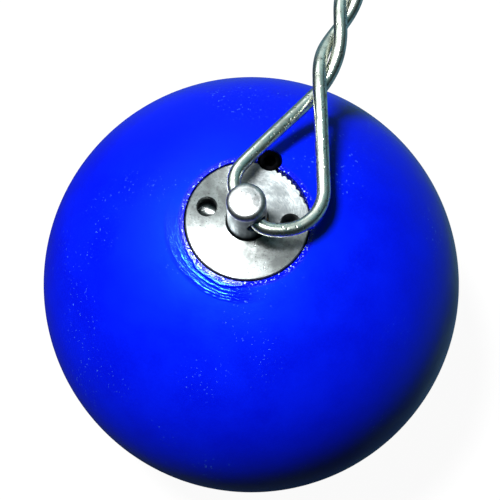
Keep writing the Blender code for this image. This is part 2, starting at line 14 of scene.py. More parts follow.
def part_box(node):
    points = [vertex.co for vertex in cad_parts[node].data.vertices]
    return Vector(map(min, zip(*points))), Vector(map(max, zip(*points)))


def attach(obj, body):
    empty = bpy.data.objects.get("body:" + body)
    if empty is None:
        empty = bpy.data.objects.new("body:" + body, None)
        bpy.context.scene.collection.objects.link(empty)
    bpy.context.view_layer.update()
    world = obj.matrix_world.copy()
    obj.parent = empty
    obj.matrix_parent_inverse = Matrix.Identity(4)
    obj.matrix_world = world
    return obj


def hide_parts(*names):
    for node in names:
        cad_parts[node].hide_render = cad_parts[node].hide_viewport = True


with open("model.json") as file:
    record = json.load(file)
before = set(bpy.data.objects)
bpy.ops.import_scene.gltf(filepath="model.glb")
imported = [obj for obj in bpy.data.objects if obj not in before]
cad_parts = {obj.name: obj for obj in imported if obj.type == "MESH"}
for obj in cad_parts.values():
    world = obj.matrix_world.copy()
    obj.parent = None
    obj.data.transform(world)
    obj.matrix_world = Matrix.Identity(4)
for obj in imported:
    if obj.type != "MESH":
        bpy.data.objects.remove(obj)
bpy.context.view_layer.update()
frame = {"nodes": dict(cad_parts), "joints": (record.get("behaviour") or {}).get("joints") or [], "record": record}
joints = {joint["name"]: joint for joint in frame["joints"]}
body_of = {node: body for body, nodes in frame["record"]["behaviour"]["bodies"].items() for node in nodes}

# Sizes that the CAD model is built to
GAP = 0.0003
BALL_RADIUS = 0.050
REST_FLAT_RADIUS = 0.007
POCKET_RADIUS = 0.011
POCKET_FLOOR_Z = 0.0535
CAP_RADIUS = 0.014
CAP_LIP_HEIGHT = 0.003
SPANNER_HOLE_RADIUS = 0.00225
SPANNER_HOLE_DEPTH = 0.004
SPANNER_CIRCLE_RADIUS = 0.00975
SPANNER_HOLE_ANGLES = (176.5, 12.5)
LOCK_SCREW_RADIUS = 0.0025
LOCK_SCREW_LENGTH = 0.008
LOCK_CIRCLE_RADIUS = 0.0155
LOCK_ANGLE = 87.5
LOCK_HEX_ACROSS_FLATS = 0.0025
LOCK_HEX_DEPTH = 0.0025
SPINDLE_RADIUS = 0.0045
THREAD_RADIUS = 0.004
SPINDLE_EDGE_RADIUS = 0.0014
WIRE_HOLE_RADIUS = 0.0023
WIRE_RADIUS = 0.0016
ROD_RADIUS = 0.004
GRIP_RADIUS = 0.011
GRIP_END_RADIUS = 0.0092
GRIP_PIN_RADIUS = 0.0015
GRIP_PIN_OFFSET = 0.036

# Heights read from the CAD nodes
CAP_BOTTOM_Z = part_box("retaining_cap")[0].z
CAP_TOP_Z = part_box("retaining_cap")[1].z
SPINDLE_BOTTOM_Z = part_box("swivel_spindle")[0].z
SPINDLE_TOP_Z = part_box("swivel_spindle")[1].z
SHOULDER_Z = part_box("spindle_washer")[1].z
LOCK_SCREW_TOP_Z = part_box("lock_screw")[1].z

# Places of the joints
HOLE_CENTRE = Vector(joints["loop_tilt"]["pos_m"])
HINGE_AXIS = Vector(joints["loop_tilt"]["axis"])
NOSE_CENTRE = Vector(joints["handle_swing"]["pos_m"])
SWING_AXIS = Vector(joints["handle_swing"]["axis"])

UP = Vector((0.0, 0.0, 1.0))
WHITE = (1.0, 1.0, 1.0, 1.0)
SHARP_DEG = 35


# ---------------------------------------------------------------- shapes


def polar(radius, angle_deg, z=0.0):
    angle = math.radians(angle_deg)
    return Vector((radius * math.cos(angle), radius * math.sin(angle), z))


def arc(centre, radius, start, end, count):
    """Points on an arc in a plane, angles in degrees."""
    points = []
    for index in range(count + 1):
        angle = math.radians(start + (end - start) * index / count)
        points.append((centre[0] + radius * math.cos(angle), centre[1] + radius * math.sin(angle)))
    return points


def new_object(name, verts, faces):
    mesh = bpy.data.meshes.new(name)
    mesh.from_pydata([tuple(vert) for vert in verts], [], faces)
    mesh.shade_smooth()
    mesh.set_sharp_from_angle(angle=math.radians(SHARP_DEG))
    obj = bpy.data.objects.new(name, mesh)
    bpy.context.scene.collection.objects.link(obj)
    return obj


def lathe(name, profile, steps, shape=None, matrix=None):
    """A closed body of revolution about Z. The profile's (radius, z) points run down its outer side;
    it either starts and ends on the axis, or closes on itself round a bore.
    shape(radius, z, angle) gives each point's own radius and z, with the angle in degrees."""
    on_axis = profile[0][0] == 0.0
    rings = profile[1:-1] if on_axis else profile
    verts = []
    for radius, z in rings:
        for step in range(steps):
            turn = 360.0 * step / steps
            r, height = shape(radius, z, turn) if shape else (radius, z)
            verts.append(polar(r, turn, height))
    faces = []
    count = len(rings)
    for ring in range(count - 1 if on_axis else count):
        upper = ring * steps
        lower = (ring + 1) % count * steps
        for step in range(steps):
            after = (step + 1) % steps
            faces.append((upper + step, lower + step, lower + after, upper + after))
    if on_axis:
        top = len(verts)
        verts.append(Vector((0.0, 0.0, profile[0][1])))
        verts.append(Vector((0.0, 0.0, profile[-1][1])))
        last = (count - 1) * steps
        for step in range(steps):
            after = (step + 1) % steps
            faces.append((top, step, after))
            faces.append((last + after, last + step, top + 1))
    if matrix:
        verts = [matrix @ vert for vert in verts]
    return new_object(name, verts, faces)


def cut(obj, *tools):
    """Takes the tools' solids out of the object and leaves a plain mesh."""
    for tool in tools:
        boolean = obj.modifiers.new("cut", "BOOLEAN")
        boolean.solver = "EXACT"
        boolean.object = tool
    bpy.context.view_layer.update()
    depsgraph = bpy.context.evaluated_depsgraph_get()
    mesh = bpy.data.meshes.new_from_object(obj.evaluated_get(depsgraph))
    obj.modifiers.clear()
    obj.data = mesh
    mesh.shade_smooth()
    mesh.set_sharp_from_angle(angle=math.radians(SHARP_DEG))
    for tool in tools:
        bpy.data.objects.remove(tool, do_unlink=True)


def smooth_step(value, low, high):
    share = min(1.0, max(0.0, (value - low) / (high - low)))
    return share * share * (3.0 - 2.0 * share)


def angle_between(angle, centre):
    """The size of the turn between two angles in degrees."""
    return abs((angle - centre + 180.0) % 360.0 - 180.0)


def window(angle, centre, half_width, fade):
    """1 within half_width degrees of the centre, fading to 0 over the next fade degrees."""
    return 1.0 - smooth_step(angle_between(angle, centre), half_width, half_width + fade)


def sweep(name, points, radius, sides, wear=None):
    """A closed round bar along the points. wear(point) gives how far a spot is worn in."""
    places = [Vector(point) for point in points]
    tangents = []
    for index, place in enumerate(places):
        before = places[max(index - 1, 0)]
        after = places[min(index + 1, len(places) - 1)]
        tangents.append((after - before).normalized())
    across = tangents[0].orthogonal().normalized()
    verts = []
    for place, tangent in zip(places, tangents):
        across = (across - tangent * across.dot(tangent)).normalized()
        other = tangent.cross(across)
        for side in range(sides):
            turn = 2.0 * math.pi * side / sides
            out = across * math.cos(turn) + other * math.sin(turn)
            depth = wear(place + out * radius) if wear else 0.0
            verts.append(place + out * (radius - depth))
    faces = []
    for ring in range(len(places) - 1):
        for side in range(sides):
            after = (side + 1) % sides
            low = ring * sides
            faces.append((low + side, low + after, low + sides + after, low + sides + side))
    last = (len(places) - 1) * sides
    faces.append(tuple(range(sides))[::-1])
    faces.append(tuple(last + side for side in range(sides)))
    return new_object(name, verts, faces)


def rounded_path(corners, radii, arc_points=12):
    """A path through the corners, in which each inner corner is an arc that meets both of its sides."""
    points = [corners[0]]
    for before, corner, after, radius in zip(corners, corners[1:], corners[2:], radii):
        back = (before - corner).normalized()
        ahead = (after - corner).normalized()
        turn = math.pi - back.angle(ahead)
        reach = radius * math.tan(turn / 2)
        middle = (back + ahead).normalized()
        centre = corner + middle * (radius / math.cos(turn / 2))
        first = corner + back * reach - centre
        last = corner + ahead * reach - centre
        for index in range(arc_points + 1):
            step = index / arc_points
            along = (first * math.sin((1 - step) * turn) + last * math.sin(step * turn)) / math.sin(turn)
            points.append(centre + along)
    points.append(corners[-1])
    return points


def resample(points, spacing):
    """The same path with points at an even spacing."""
    lengths = [0.0]
    for before, after in zip(points, points[1:]):
        lengths.append(lengths[-1] + (after - before).length)
    count = round(lengths[-1] / spacing)
    result = []
    segment = 0
    for index in range(count + 1):
        target = lengths[-1] * index / count
        while segment < len(points) - 2 and lengths[segment + 1] < target:
            segment += 1
        share = (target - lengths[segment]) / (lengths[segment + 1] - lengths[segment])
        result.append(points[segment].lerp(points[segment + 1], share))
    return result


def show(obj, finish, *nodes):
    """Puts a piece in the place of its CAD nodes, on their body, with the finish given."""
    obj.data.materials.clear()
    obj.data.materials.append(finish)
    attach(obj, body_of[nodes[0]])
    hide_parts(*nodes)


def dress(finish, *nodes):
    """Gives CAD nodes that are shown as they are their finish."""
    for node in nodes:
        obj = frame["nodes"][node]
        obj.data.materials.clear()
        obj.data.materials.append(finish)


# ---------------------------------------------------------------- head


# The thick bead of paint beside the cap, seen on one side of the ball: it rises outward to its own edge,
# which runs wider in one direction. Sides are plan angles, and widths and fades are in degrees.
STROKE_SIDE = 240
STROKE_HALF_WIDTH = 36
STROKE_FADE = 18
BEAD_NARROW_RADIUS = 0.0150
BEAD_WIDE_RADIUS = 0.0160
BEAD_WIDE_SIDE = 256
BEAD_WIDE_HALF_WIDTH = 6
BEAD_WIDE_FADE = 34
BEAD_WAVINESS = 0.0003
BEAD_SLOPE = 0.15
BEAD_EDGE_WIDTH = 0.0004

# Brush ridges outside the bead: radius, plan angle of the middle and half of the length in degrees
RIDGES = ((0.0169, 247, 26), (0.0177, 262, 8), (0.0183, 262, 13), (0.0189, 266, 10))
RIDGE_HALF_WIDTH = 0.00026
RIDGE_HEIGHT = 0.00009
RIDGE_FADE = 7
RIDGE_WANDER = 0.0002
RELIEF_RADIUS = 0.0195

# Small drops of paint in a ring round the cap
RING_DROPS_HEIGHT = 0.0002
RING_DROPS_SIZE = 0.00045
RING_DROPS_INNER = CAP_RADIUS + 0.0009
RING_DROPS_OUTER = CAP_RADIUS + 0.0016

# The nibbled sector of the cap's rim, in the same units
NIBBLE_SIDE = 66
NIBBLE_HALF_WIDTH = 26
NIBBLE_FADE = 9
NIBBLE_DEPTH = 0.00070
NIBBLE_PITCH = 7.0


def paint_relief(radius, angle):
    """How far the paint stands proud of the ball at a radius from the cap's axis, in metres."""
    if radius > RELIEF_RADIUS:
        return 0.0
    turn = math.radians(angle)
    around = Vector((math.cos(turn), math.sin(turn), 0.0))
    side = window(angle, STROKE_SIDE, STROKE_HALF_WIDTH, STROKE_FADE)
    wide = window(angle, BEAD_WIDE_SIDE, BEAD_WIDE_HALF_WIDTH, BEAD_WIDE_FADE)
    edge = BEAD_NARROW_RADIUS + (BEAD_WIDE_RADIUS - BEAD_NARROW_RADIUS) * wide
    edge += BEAD_WAVINESS * noise.noise(around * 6)
    ramp = BEAD_SLOPE * (min(radius, edge) - CAP_RADIUS - GAP)
    relief = side * ramp * (1.0 - smooth_step(radius, edge, edge + BEAD_EDGE_WIDTH))
    wander = radius + RIDGE_WANDER * noise.noise(around * 9)
    for ridge_radius, middle, half_length in RIDGES:
        across = min(1.0, abs(wander - ridge_radius) / RIDGE_HALF_WIDTH)
        broken = max(0.0, 0.6 + noise.noise(around * 22 + UP * (ridge_radius * 9000)))
        along = window(angle, middle, half_length, RIDGE_FADE)
        relief += RIDGE_HEIGHT * broken * (1.0 - across * across)**2 * along
    drop_at = polar(radius / RING_DROPS_SIZE, angle, 5.0)
    close = 1.0 - smooth_step(radius, RING_DROPS_INNER, RING_DROPS_OUTER)
    return relief + close * RING_DROPS_HEIGHT * max(0.0, noise.noise(drop_at) - 0.05)


def ball_surface(radius, z, angle):
    """Moves a point of the ball's outer skin out by the paint's relief."""
    if z < BALL_RADIUS or radius < CAP_RADIUS + GAP - 0.00001:
        return radius, z
    out = Vector((radius, z - BALL_RADIUS)).normalized()
    proud = paint_relief(radius, angle)
    return radius + out.x * proud, z + out.y * proud


def lock_hole(radius, top, length):
    """A cutter for the hole on the joint line of cap and ball."""
    profile = [(0.0, top + 0.002), (radius, top + 0.002), (radius, top - length), (0.0, top - length)]
    return lathe("lock_hole", profile, 64, matrix=Matrix.Translation(polar(LOCK_CIRCLE_RADIUS, LOCK_ANGLE)))


def make_ball(finish):
    bore = CAP_RADIUS + GAP
    rim_deg = math.degrees(math.acos(bore / BALL_RADIUS))
    near_deg = math.degrees(math.acos(RELIEF_RADIUS / BALL_RADIUS))
    flat_deg = -math.degrees(math.acos(REST_FLAT_RADIUS / BALL_RADIUS))
    rim_z = BALL_RADIUS + math.sqrt(BALL_RADIUS**2 - bore**2)
    seat_z = CAP_BOTTOM_Z - GAP
    centre = (0.0, BALL_RADIUS)
    profile = [(0.0, POCKET_FLOOR_Z), (POCKET_RADIUS, POCKET_FLOOR_Z), (POCKET_RADIUS, seat_z),
               (bore, seat_z), (bore, rim_z - 0.0005), (bore + 0.00003, rim_z - 0.0002)]
    profile += arc(centre, BALL_RADIUS, rim_deg - 0.15, near_deg, 58)
    profile += arc(centre, BALL_RADIUS, near_deg, flat_deg, 96)[1:]
    profile.append((0.0, 0.0))
    ball = lathe("ball_painted", profile, 480, ball_surface)
    cut(ball, lock_hole(LOCK_SCREW_RADIUS + GAP, CAP_TOP_Z, LOCK_SCREW_LENGTH + 4 * GAP))
    show(ball, finish, "head_ball")


def cap_rim(radius, z, angle):
    """Nibbles the cap's upper rim in one sector, and leaves the rest of the cap round."""
    if radius < CAP_RADIUS - 0.0008 or z < CAP_TOP_Z - 0.0021:
        return radius, z
    side = window(angle, NIBBLE_SIDE, NIBBLE_HALF_WIDTH, NIBBLE_FADE)
    turn = math.radians(angle)
    bite = abs(math.sin(math.pi * (angle + 2.0 * math.sin(5 * turn)) / NIBBLE_PITCH))
    uneven = 0.7 + 0.6 * noise.noise(Vector((angle / 10.0, 0.0, 1.7)))
    return radius - side * NIBBLE_DEPTH * (0.35 + (1.0 - bite) * uneven), z


def spanner_hole(angle):
    """A cutter for a drilled hole with a small chamfer at its mouth and a drill point at its end."""
    radius = SPANNER_HOLE_RADIUS
    top = CAP_TOP_Z
    floor = top - SPANNER_HOLE_DEPTH
    profile = [(0.0, top + 0.001), (radius + 0.00115, top + 0.001), (radius, top - 0.00015), (radius, floor),
               (0.0, floor - radius * math.tan(math.radians(31)))]
    return lathe("spanner_hole", profile, 64, matrix=Matrix.Translation(polar(SPANNER_CIRCLE_RADIUS, angle)))


def make_cap(finish):
    bore = SPINDLE_RADIUS + GAP
    bush_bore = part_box("guide_bush")[1].x + GAP
    shoulder_z = CAP_TOP_Z - CAP_LIP_HEIGHT
    profile = [(bore + 0.0002, CAP_TOP_Z), (CAP_RADIUS - 0.0002, CAP_TOP_Z),
               (CAP_RADIUS, CAP_TOP_Z - 0.0002), (CAP_RADIUS, CAP_TOP_Z - 0.001),
               (CAP_RADIUS, CAP_TOP_Z - 0.0022), (CAP_RADIUS, CAP_BOTTOM_Z), (bush_bore, CAP_BOTTOM_Z),
               (bush_bore, shoulder_z), (bore, shoulder_z), (bore, CAP_TOP_Z - 0.0002)]
    cap = lathe("cap_turned", profile, 360, cap_rim)
    hole = lock_hole(LOCK_SCREW_RADIUS + GAP, CAP_TOP_Z, LOCK_SCREW_LENGTH + 4 * GAP)
    cut(cap, hole, *[spanner_hole(angle) for angle in SPANNER_HOLE_ANGLES])
    show(cap, finish, "retaining_cap")


def make_lock_screw(finish):
    top = LOCK_SCREW_TOP_Z
    bottom = top - LOCK_SCREW_LENGTH
    radius = LOCK_SCREW_RADIUS
    chamfer = 0.0004
    place = Matrix.Translation(polar(LOCK_CIRCLE_RADIUS, LOCK_ANGLE))
    profile = [(0.0, top), (radius - chamfer, top), (radius - chamfer / 3, top - chamfer / 3),
               (radius, top - chamfer), (radius, bottom + 2 * chamfer), (radius - 2 * chamfer, bottom),
               (0.0, bottom)]
    screw = lathe("socket_screw", profile, 64, matrix=place)
    corner = LOCK_HEX_ACROSS_FLATS / 2 / math.cos(math.pi / 6)
    profile = [(0.0, top + 0.001), (corner, top + 0.001), (corner, top - LOCK_HEX_DEPTH),
               (0.0, top - LOCK_HEX_DEPTH - 0.0005)]
    cut(screw, lathe("hex", profile, 6, matrix=place))
    show(screw, finish, "lock_screw")


# ---------------------------------------------------------------- swivel


def cross_hole():
    """A cutter for the wire's hole, whose mouths are rounded off for the wire's bends."""
    radius = WIRE_HOLE_RADIUS
    straight = 0.75 * SPINDLE_RADIUS
    end = 2 * SPINDLE_RADIUS
    flare = radius + (end - straight) * 0.55
    profile = [(0.0, end), (flare, end), (radius, straight), (radius, -straight), (flare, -end), (0.0, -end)]
    turn = UP.rotation_difference(HINGE_AXIS).to_matrix().to_4x4()
    return lathe("cross_hole", profile, 64, matrix=Matrix.Translation(HOLE_CENTRE) @ turn)


def make_spindle(finish):
    radius = SPINDLE_RADIUS
    edge = SPINDLE_EDGE_RADIUS
    crown = 0.0003
    face = radius - edge
    profile = [(0.0, SPINDLE_TOP_Z)]
    for index in range(1, 8):
        share = index / 8
        profile.append((face * share, SPINDLE_TOP_Z - crown * share * share))
    profile += arc((face, SPINDLE_TOP_Z - crown - edge), edge, 90, 0, 14)
    profile += [(radius, SHOULDER_Z), (THREAD_RADIUS, SHOULDER_Z - 0.0006),
                (THREAD_RADIUS, SPINDLE_BOTTOM_Z + 0.0006), (THREAD_RADIUS - 0.0006, SPINDLE_BOTTOM_Z),
                (0.0, SPINDLE_BOTTOM_Z)]
    spindle = lathe("spindle_worn", profile, 128)
    cut(spindle, cross_hole())
    show(spindle, finish, "swivel_spindle")


# ---------------------------------------------------------------- wire


# The twist, the eye through the spindle and the eye round the handle's nose
TWIST_RADIUS = 0.00175
TWIST_HALF_PITCH = 0.017
TWIST_HALF_TURNS = 5
TWIST_POINTS_PER_HALF_TURN = 20
TWIST_RUN_OUT = 0.020
EYE_CLOSING_LENGTH = 0.024
EYE_POINT_SPACING = 0.0006
HEAD_TWIST_OFFSET = 0.0068
HEAD_CROSSING = 0.034
SHORT_BEND_REACH = 0.0084
SHORT_BEND_RADIUS = 0.007
LONG_BEND_REACH = 0.0056
LONG_BEND_RADIUS = 0.005
BOW_CORNER = (0.0003, -0.0185)
BOW_RADIUS = 0.010
HANDLE_EYE_RADIUS = 0.0085
HANDLE_EYE_CROSSING = 0.034


def frame_from_axes(origin, along, normal):
    """Local X along the wire, local Z along the plane's normal."""
    matrix = Matrix((along, normal.cross(along), normal)).transposed().to_4x4()
    matrix.translation = origin
    return matrix


def wire_direction():
    """The line of the wire from the head eye to the handle's nose, which lies beside the hole's centre."""
    along = (NOSE_CENTRE - HOLE_CENTRE).normalized()
    for _ in range(8):
        side = HINGE_AXIS.cross(along).normalized().cross(along)
        along = (NOSE_CENTRE - HOLE_CENTRE + side * HEAD_TWIST_OFFSET).normalized()
    return along


def head_eye_path(place):
    """The eye that passes through the spindle, from the long strand round to the short one."""
    hinge = place.to_3x3().inverted() @ HINGE_AXIS
    crossing = Vector((HEAD_CROSSING, -HEAD_TWIST_OFFSET, 0.0))
    corners = [crossing, Vector((*BOW_CORNER, 0.0)), hinge * LONG_BEND_REACH, hinge * -SHORT_BEND_REACH,
               crossing]
    return rounded_path(corners, [BOW_RADIUS, LONG_BEND_RADIUS, SHORT_BEND_RADIUS])


def handle_eye_path():
    """A teardrop: two tangents from the crossing to an arc that goes round the nose."""
    centre_x = HANDLE_EYE_RADIUS - ROD_RADIUS - 2 * GAP - WIRE_RADIUS
    crossing = Vector((HANDLE_EYE_CROSSING, 0.0, 0.0))
    tangent = math.degrees(math.acos(HANDLE_EYE_RADIUS / (HANDLE_EYE_CROSSING - centre_x)))
    bow = arc((centre_x, 0.0), HANDLE_EYE_RADIUS, -tangent, tangent - 360, 40)
    return [crossing] + [Vector((x, y, 0.0)) for x, y in bow] + [crossing]


def twist_point(distance, radius, start_angle, offset):
    angle = math.radians(start_angle) - math.pi * distance / TWIST_HALF_PITCH
    return Vector((distance, radius * math.cos(angle) - offset, radius * math.sin(angle)))


def looped_end(place, eye, crossing, offset):
    """One end of the wire: cut end, twist, eye, twist, and the run out to the straight middle."""
    eye = resample(eye, EYE_POINT_SPACING)
    count = len(eye) - 1
    for index, point in enumerate(eye):
        share = min(1.0, min(index, count - index) * EYE_POINT_SPACING / EYE_CLOSING_LENGTH)
        side = 1 if index < count / 2 else -1
        point.z = side * TWIST_RADIUS * (1 + math.cos(math.pi * share)) / 2
    steps = TWIST_HALF_TURNS * TWIST_POINTS_PER_HALF_TURN
    length = TWIST_HALF_TURNS * TWIST_HALF_PITCH
    shift = Vector((crossing, 0.0, 0.0))
    tail = []
    standing = []
    for index in range(1, steps + 1):
        distance = length * index / steps
        tail.append(shift + twist_point(distance, TWIST_RADIUS, 90, offset))
        standing.append(shift + twist_point(distance, TWIST_RADIUS, -90, offset))
    for index in range(1, TWIST_POINTS_PER_HALF_TURN + 1):
        share = index / TWIST_POINTS_PER_HALF_TURN
        radius = TWIST_RADIUS * (1 + math.cos(math.pi * share)) / 2
        standing.append(shift + twist_point(length + TWIST_RUN_OUT * share, radius, -90, offset))
    path = tail[::-1] + eye + standing
    for _ in range(3):
        softened = [(a + 2 * b + c) / 4 for a, b, c in zip(path, path[1:], path[2:])]
        path = [path[0]] + softened + [path[-1]]
    return [place @ point for point in path]


def wire_nicks(point):
    """Small dents from use, in metres."""
    return 0.00006 * max(0.0, noise.noise(point * 900.0) - 0.25)


def make_wire(finish):
    along = wire_direction()
    head_frame = frame_from_axes(HOLE_CENTRE, along, HINGE_AXIS.cross(along).normalized())
    nose_frame = frame_from_axes(NOSE_CENTRE, -along, SWING_AXIS)
    head_end = looped_end(head_frame, head_eye_path(head_frame), HEAD_CROSSING, HEAD_TWIST_OFFSET)
    handle_end = looped_end(nose_frame, handle_eye_path(), HANDLE_EYE_CROSSING, 0.0)
    wire = sweep("wire_drawn", head_end + handle_end[::-1], WIRE_RADIUS, 20, wire_nicks)
    show(wire, finish, "tether_wire")


# ---------------------------------------------------------------- handle


NOSE_BEND_RADIUS = 0.011
ARM_SPREAD = 0.062
ARM_BEND_RADIUS = 0.008
ROD_END_REACH = 0.027
GRIP_EDGE_RADIUS = 0.0012
GRIP_BORE_CHAMFER = 0.0003


def grip_centre():
    low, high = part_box("handle_grip")
    return (low + high) / 2


def handle_place():
    """Handle frame: origin at the nose, X along the grip, Y from the nose to the grip."""
    along = (grip_centre() - NOSE_CENTRE).normalized()
    matrix = Matrix((SWING_AXIS, along, SWING_AXIS.cross(along))).transposed().to_4x4()
    matrix.translation = NOSE_CENTRE
    return matrix


def pin_cutters(place, nose_to_grip):
    radius = GRIP_PIN_RADIUS + GAP
    reach = 2 * GRIP_RADIUS
    profile = [(0.0, reach), (radius, reach), (radius, -reach), (0.0, -reach)]
    tools = []
    for side in (-1, 1):
        spot = Matrix.Translation((side * GRIP_PIN_OFFSET, nose_to_grip, 0.0))
        tools.append(lathe("pin_hole", profile, 32, matrix=place @ spot))
    return tools


def make_rod(finish, place, nose_to_grip):
    """The bent rod: a nose, two arms that are tangents to it, and two ends inside the grip."""
    to_centre = Vector((ARM_SPREAD, nose_to_grip - NOSE_BEND_RADIUS))
    half_angle = math.atan2(to_centre.x, to_centre.y) - math.asin(NOSE_BEND_RADIUS / to_centre.length)
    nose = NOSE_BEND_RADIUS * (1 / math.sin(half_angle) - 1)
    right_half = [Vector((ARM_SPREAD, nose_to_grip, 0.0)), Vector((ROD_END_REACH, nose_to_grip, 0.0))]
    left_half = [Vector((-x, y, 0.0)) for x, y, _ in right_half[::-1]]
    corners = left_half + [Vector((0.0, -nose, 0.0))] + right_half
    path = rounded_path(corners, [ARM_BEND_RADIUS, NOSE_BEND_RADIUS, ARM_BEND_RADIUS], 24)
    rod = sweep("handle_rod", [place @ point for point in path], ROD_RADIUS, 40)
    cut(rod, *pin_cutters(place, nose_to_grip))
    show(rod, finish, "handle_frame")


def make_grip(finish, place, nose_to_grip):
    """A barrel with rounded ends, thickest in the middle, with a bore for the rod."""
    low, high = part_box("handle_grip")
    half = (high.x - low.x) / 2
    bore = ROD_RADIUS + GAP
    edge = GRIP_EDGE_RADIUS
    barrel_half = half - edge
    profile = [(bore + GRIP_BORE_CHAMFER, half)]
    profile += arc((GRIP_END_RADIUS - edge, half - edge), edge, 90, 0, 6)
    for index in range(1, 80):
        z = barrel_half * (1 - index / 40)
        swell = (GRIP_RADIUS - GRIP_END_RADIUS) * (1 - (z / barrel_half)**2)
        profile.append((GRIP_END_RADIUS + swell, z))
    profile += arc((GRIP_END_RADIUS - edge, edge - half), edge, 0, -90, 6)
    profile += [(bore + GRIP_BORE_CHAMFER, -half), (bore, GRIP_BORE_CHAMFER - half),
                (bore, half - GRIP_BORE_CHAMFER)]
    lie = Matrix.Translation((0.0, nose_to_grip, 0.0)) @ Matrix.Rotation(math.pi / 2, 4, "Y")
    grip = lathe("grip_barrel", profile, 96, matrix=place @ lie)
    cut(grip, *pin_cutters(place, nose_to_grip))
    show(grip, finish, "handle_grip")


def make_grip_pins(finish, place, nose_to_grip):
    """Two pins with rounded ends, through the grip and the rod."""
    half = GRIP_END_RADIUS - GAP
    radius = GRIP_PIN_RADIUS
    profile = [(0.0, half), (0.6 * radius, half - 0.0001), (0.9 * radius, half - 0.0003),
               (radius, half - 0.0006), (radius, 0.0006 - half), (0.9 * radius, 0.0003 - half),
               (0.6 * radius, 0.0001 - half), (0.0, -half)]
    for side, label in ((-1, "left"), (1, "right")):
        spot = Matrix.Translation((side * GRIP_PIN_OFFSET, nose_to_grip, 0.0))
        pin = lathe(f"rivet_{label}", profile, 32, matrix=place @ spot)
        show(pin, finish, f"grip_pin_{label}")


def make_handle(rod_finish, grip_finish, pin_finish):
    place = handle_place()
    nose_to_grip = (grip_centre() - NOSE_CENTRE).length
    make_rod(rod_finish, place, nose_to_grip)
    make_grip(grip_finish, place, nose_to_grip)
    make_grip_pins(pin_finish, place, nose_to_grip)


# ---------------------------------------------------------------- materials


def add(tree, kind, inputs=None, **settings):
    """A shader node. inputs gives sockets, by name or number, a value or another node's output."""
    made = tree.nodes.new("ShaderNode" + kind)
    for name, value in settings.items():
        setattr(made, name, value)
    feed(tree, made, inputs or {})
    return made


def feed(tree, node, inputs):
    for socket, value in inputs.items():
        if isinstance(value, bpy.types.NodeSocket):
            tree.links.new(value, node.inputs[socket])
        else:
            node.inputs[socket].default_value = value


def new_material(name):
    """A material, its node tree, its Principled shader and the place on the piece."""
    made = bpy.data.materials.new(name)
    made.use_nodes = True
    tree = made.node_tree
    return made, tree, tree.nodes["Principled BSDF"], add(tree, "TexCoord").outputs["Object"]


def calc(tree, operation, first, second=0.0):
    return add(tree, "Math", {0: first, 1: second}, operation=operation).outputs[0]


def fit(tree, value, low, high, to_low=0.0, to_high=1.0):
    """Maps low..high to to_low..to_high with a soft start and end."""
    inputs = {"Value": value, "From Min": low, "From Max": high, "To Min": to_low, "To Max": to_high}
    return add(tree, "MapRange", inputs, interpolation_type="SMOOTHSTEP").outputs["Result"]


def blotches(tree, place, size, detail=4.0, roughness=0.55):
    """Noise from 0 to 1 with features of about the size given, in metres."""
    inputs = {"Vector": place, "Scale": 1.0 / size, "Detail": detail, "Roughness": roughness}
    return add(tree, "TexNoise", inputs).outputs["Fac"]


def stretch(tree, place, factors):
    return add(tree, "Mapping", {"Vector": place, "Scale": factors}).outputs["Vector"]


def mix(tree, share, first, second):
    made = add(tree, "Mix", data_type="RGBA")
    feed(tree, made, {"Factor": share, 6: first, 7: second})
    return made.outputs[2]


def bump(tree, height, distance, normal=None):
    made = add(tree, "Bump", {"Height": height, "Distance": distance, "Strength": 1.0})
    if normal:
        tree.links.new(normal, made.inputs["Normal"])
    return made.outputs["Normal"]


def from_axis(tree, place):
    """Distance from the Z axis, the angle round it in radians, and the height."""
    parts = add(tree, "SeparateXYZ", {0: place}).outputs
    flat = add(tree, "CombineXYZ", {0: parts[0], 1: parts[1]}).outputs[0]
    radius = add(tree, "VectorMath", {0: flat}, operation="LENGTH").outputs["Value"]
    return radius, calc(tree, "ARCTAN2", parts[1], parts[0]), parts[2]


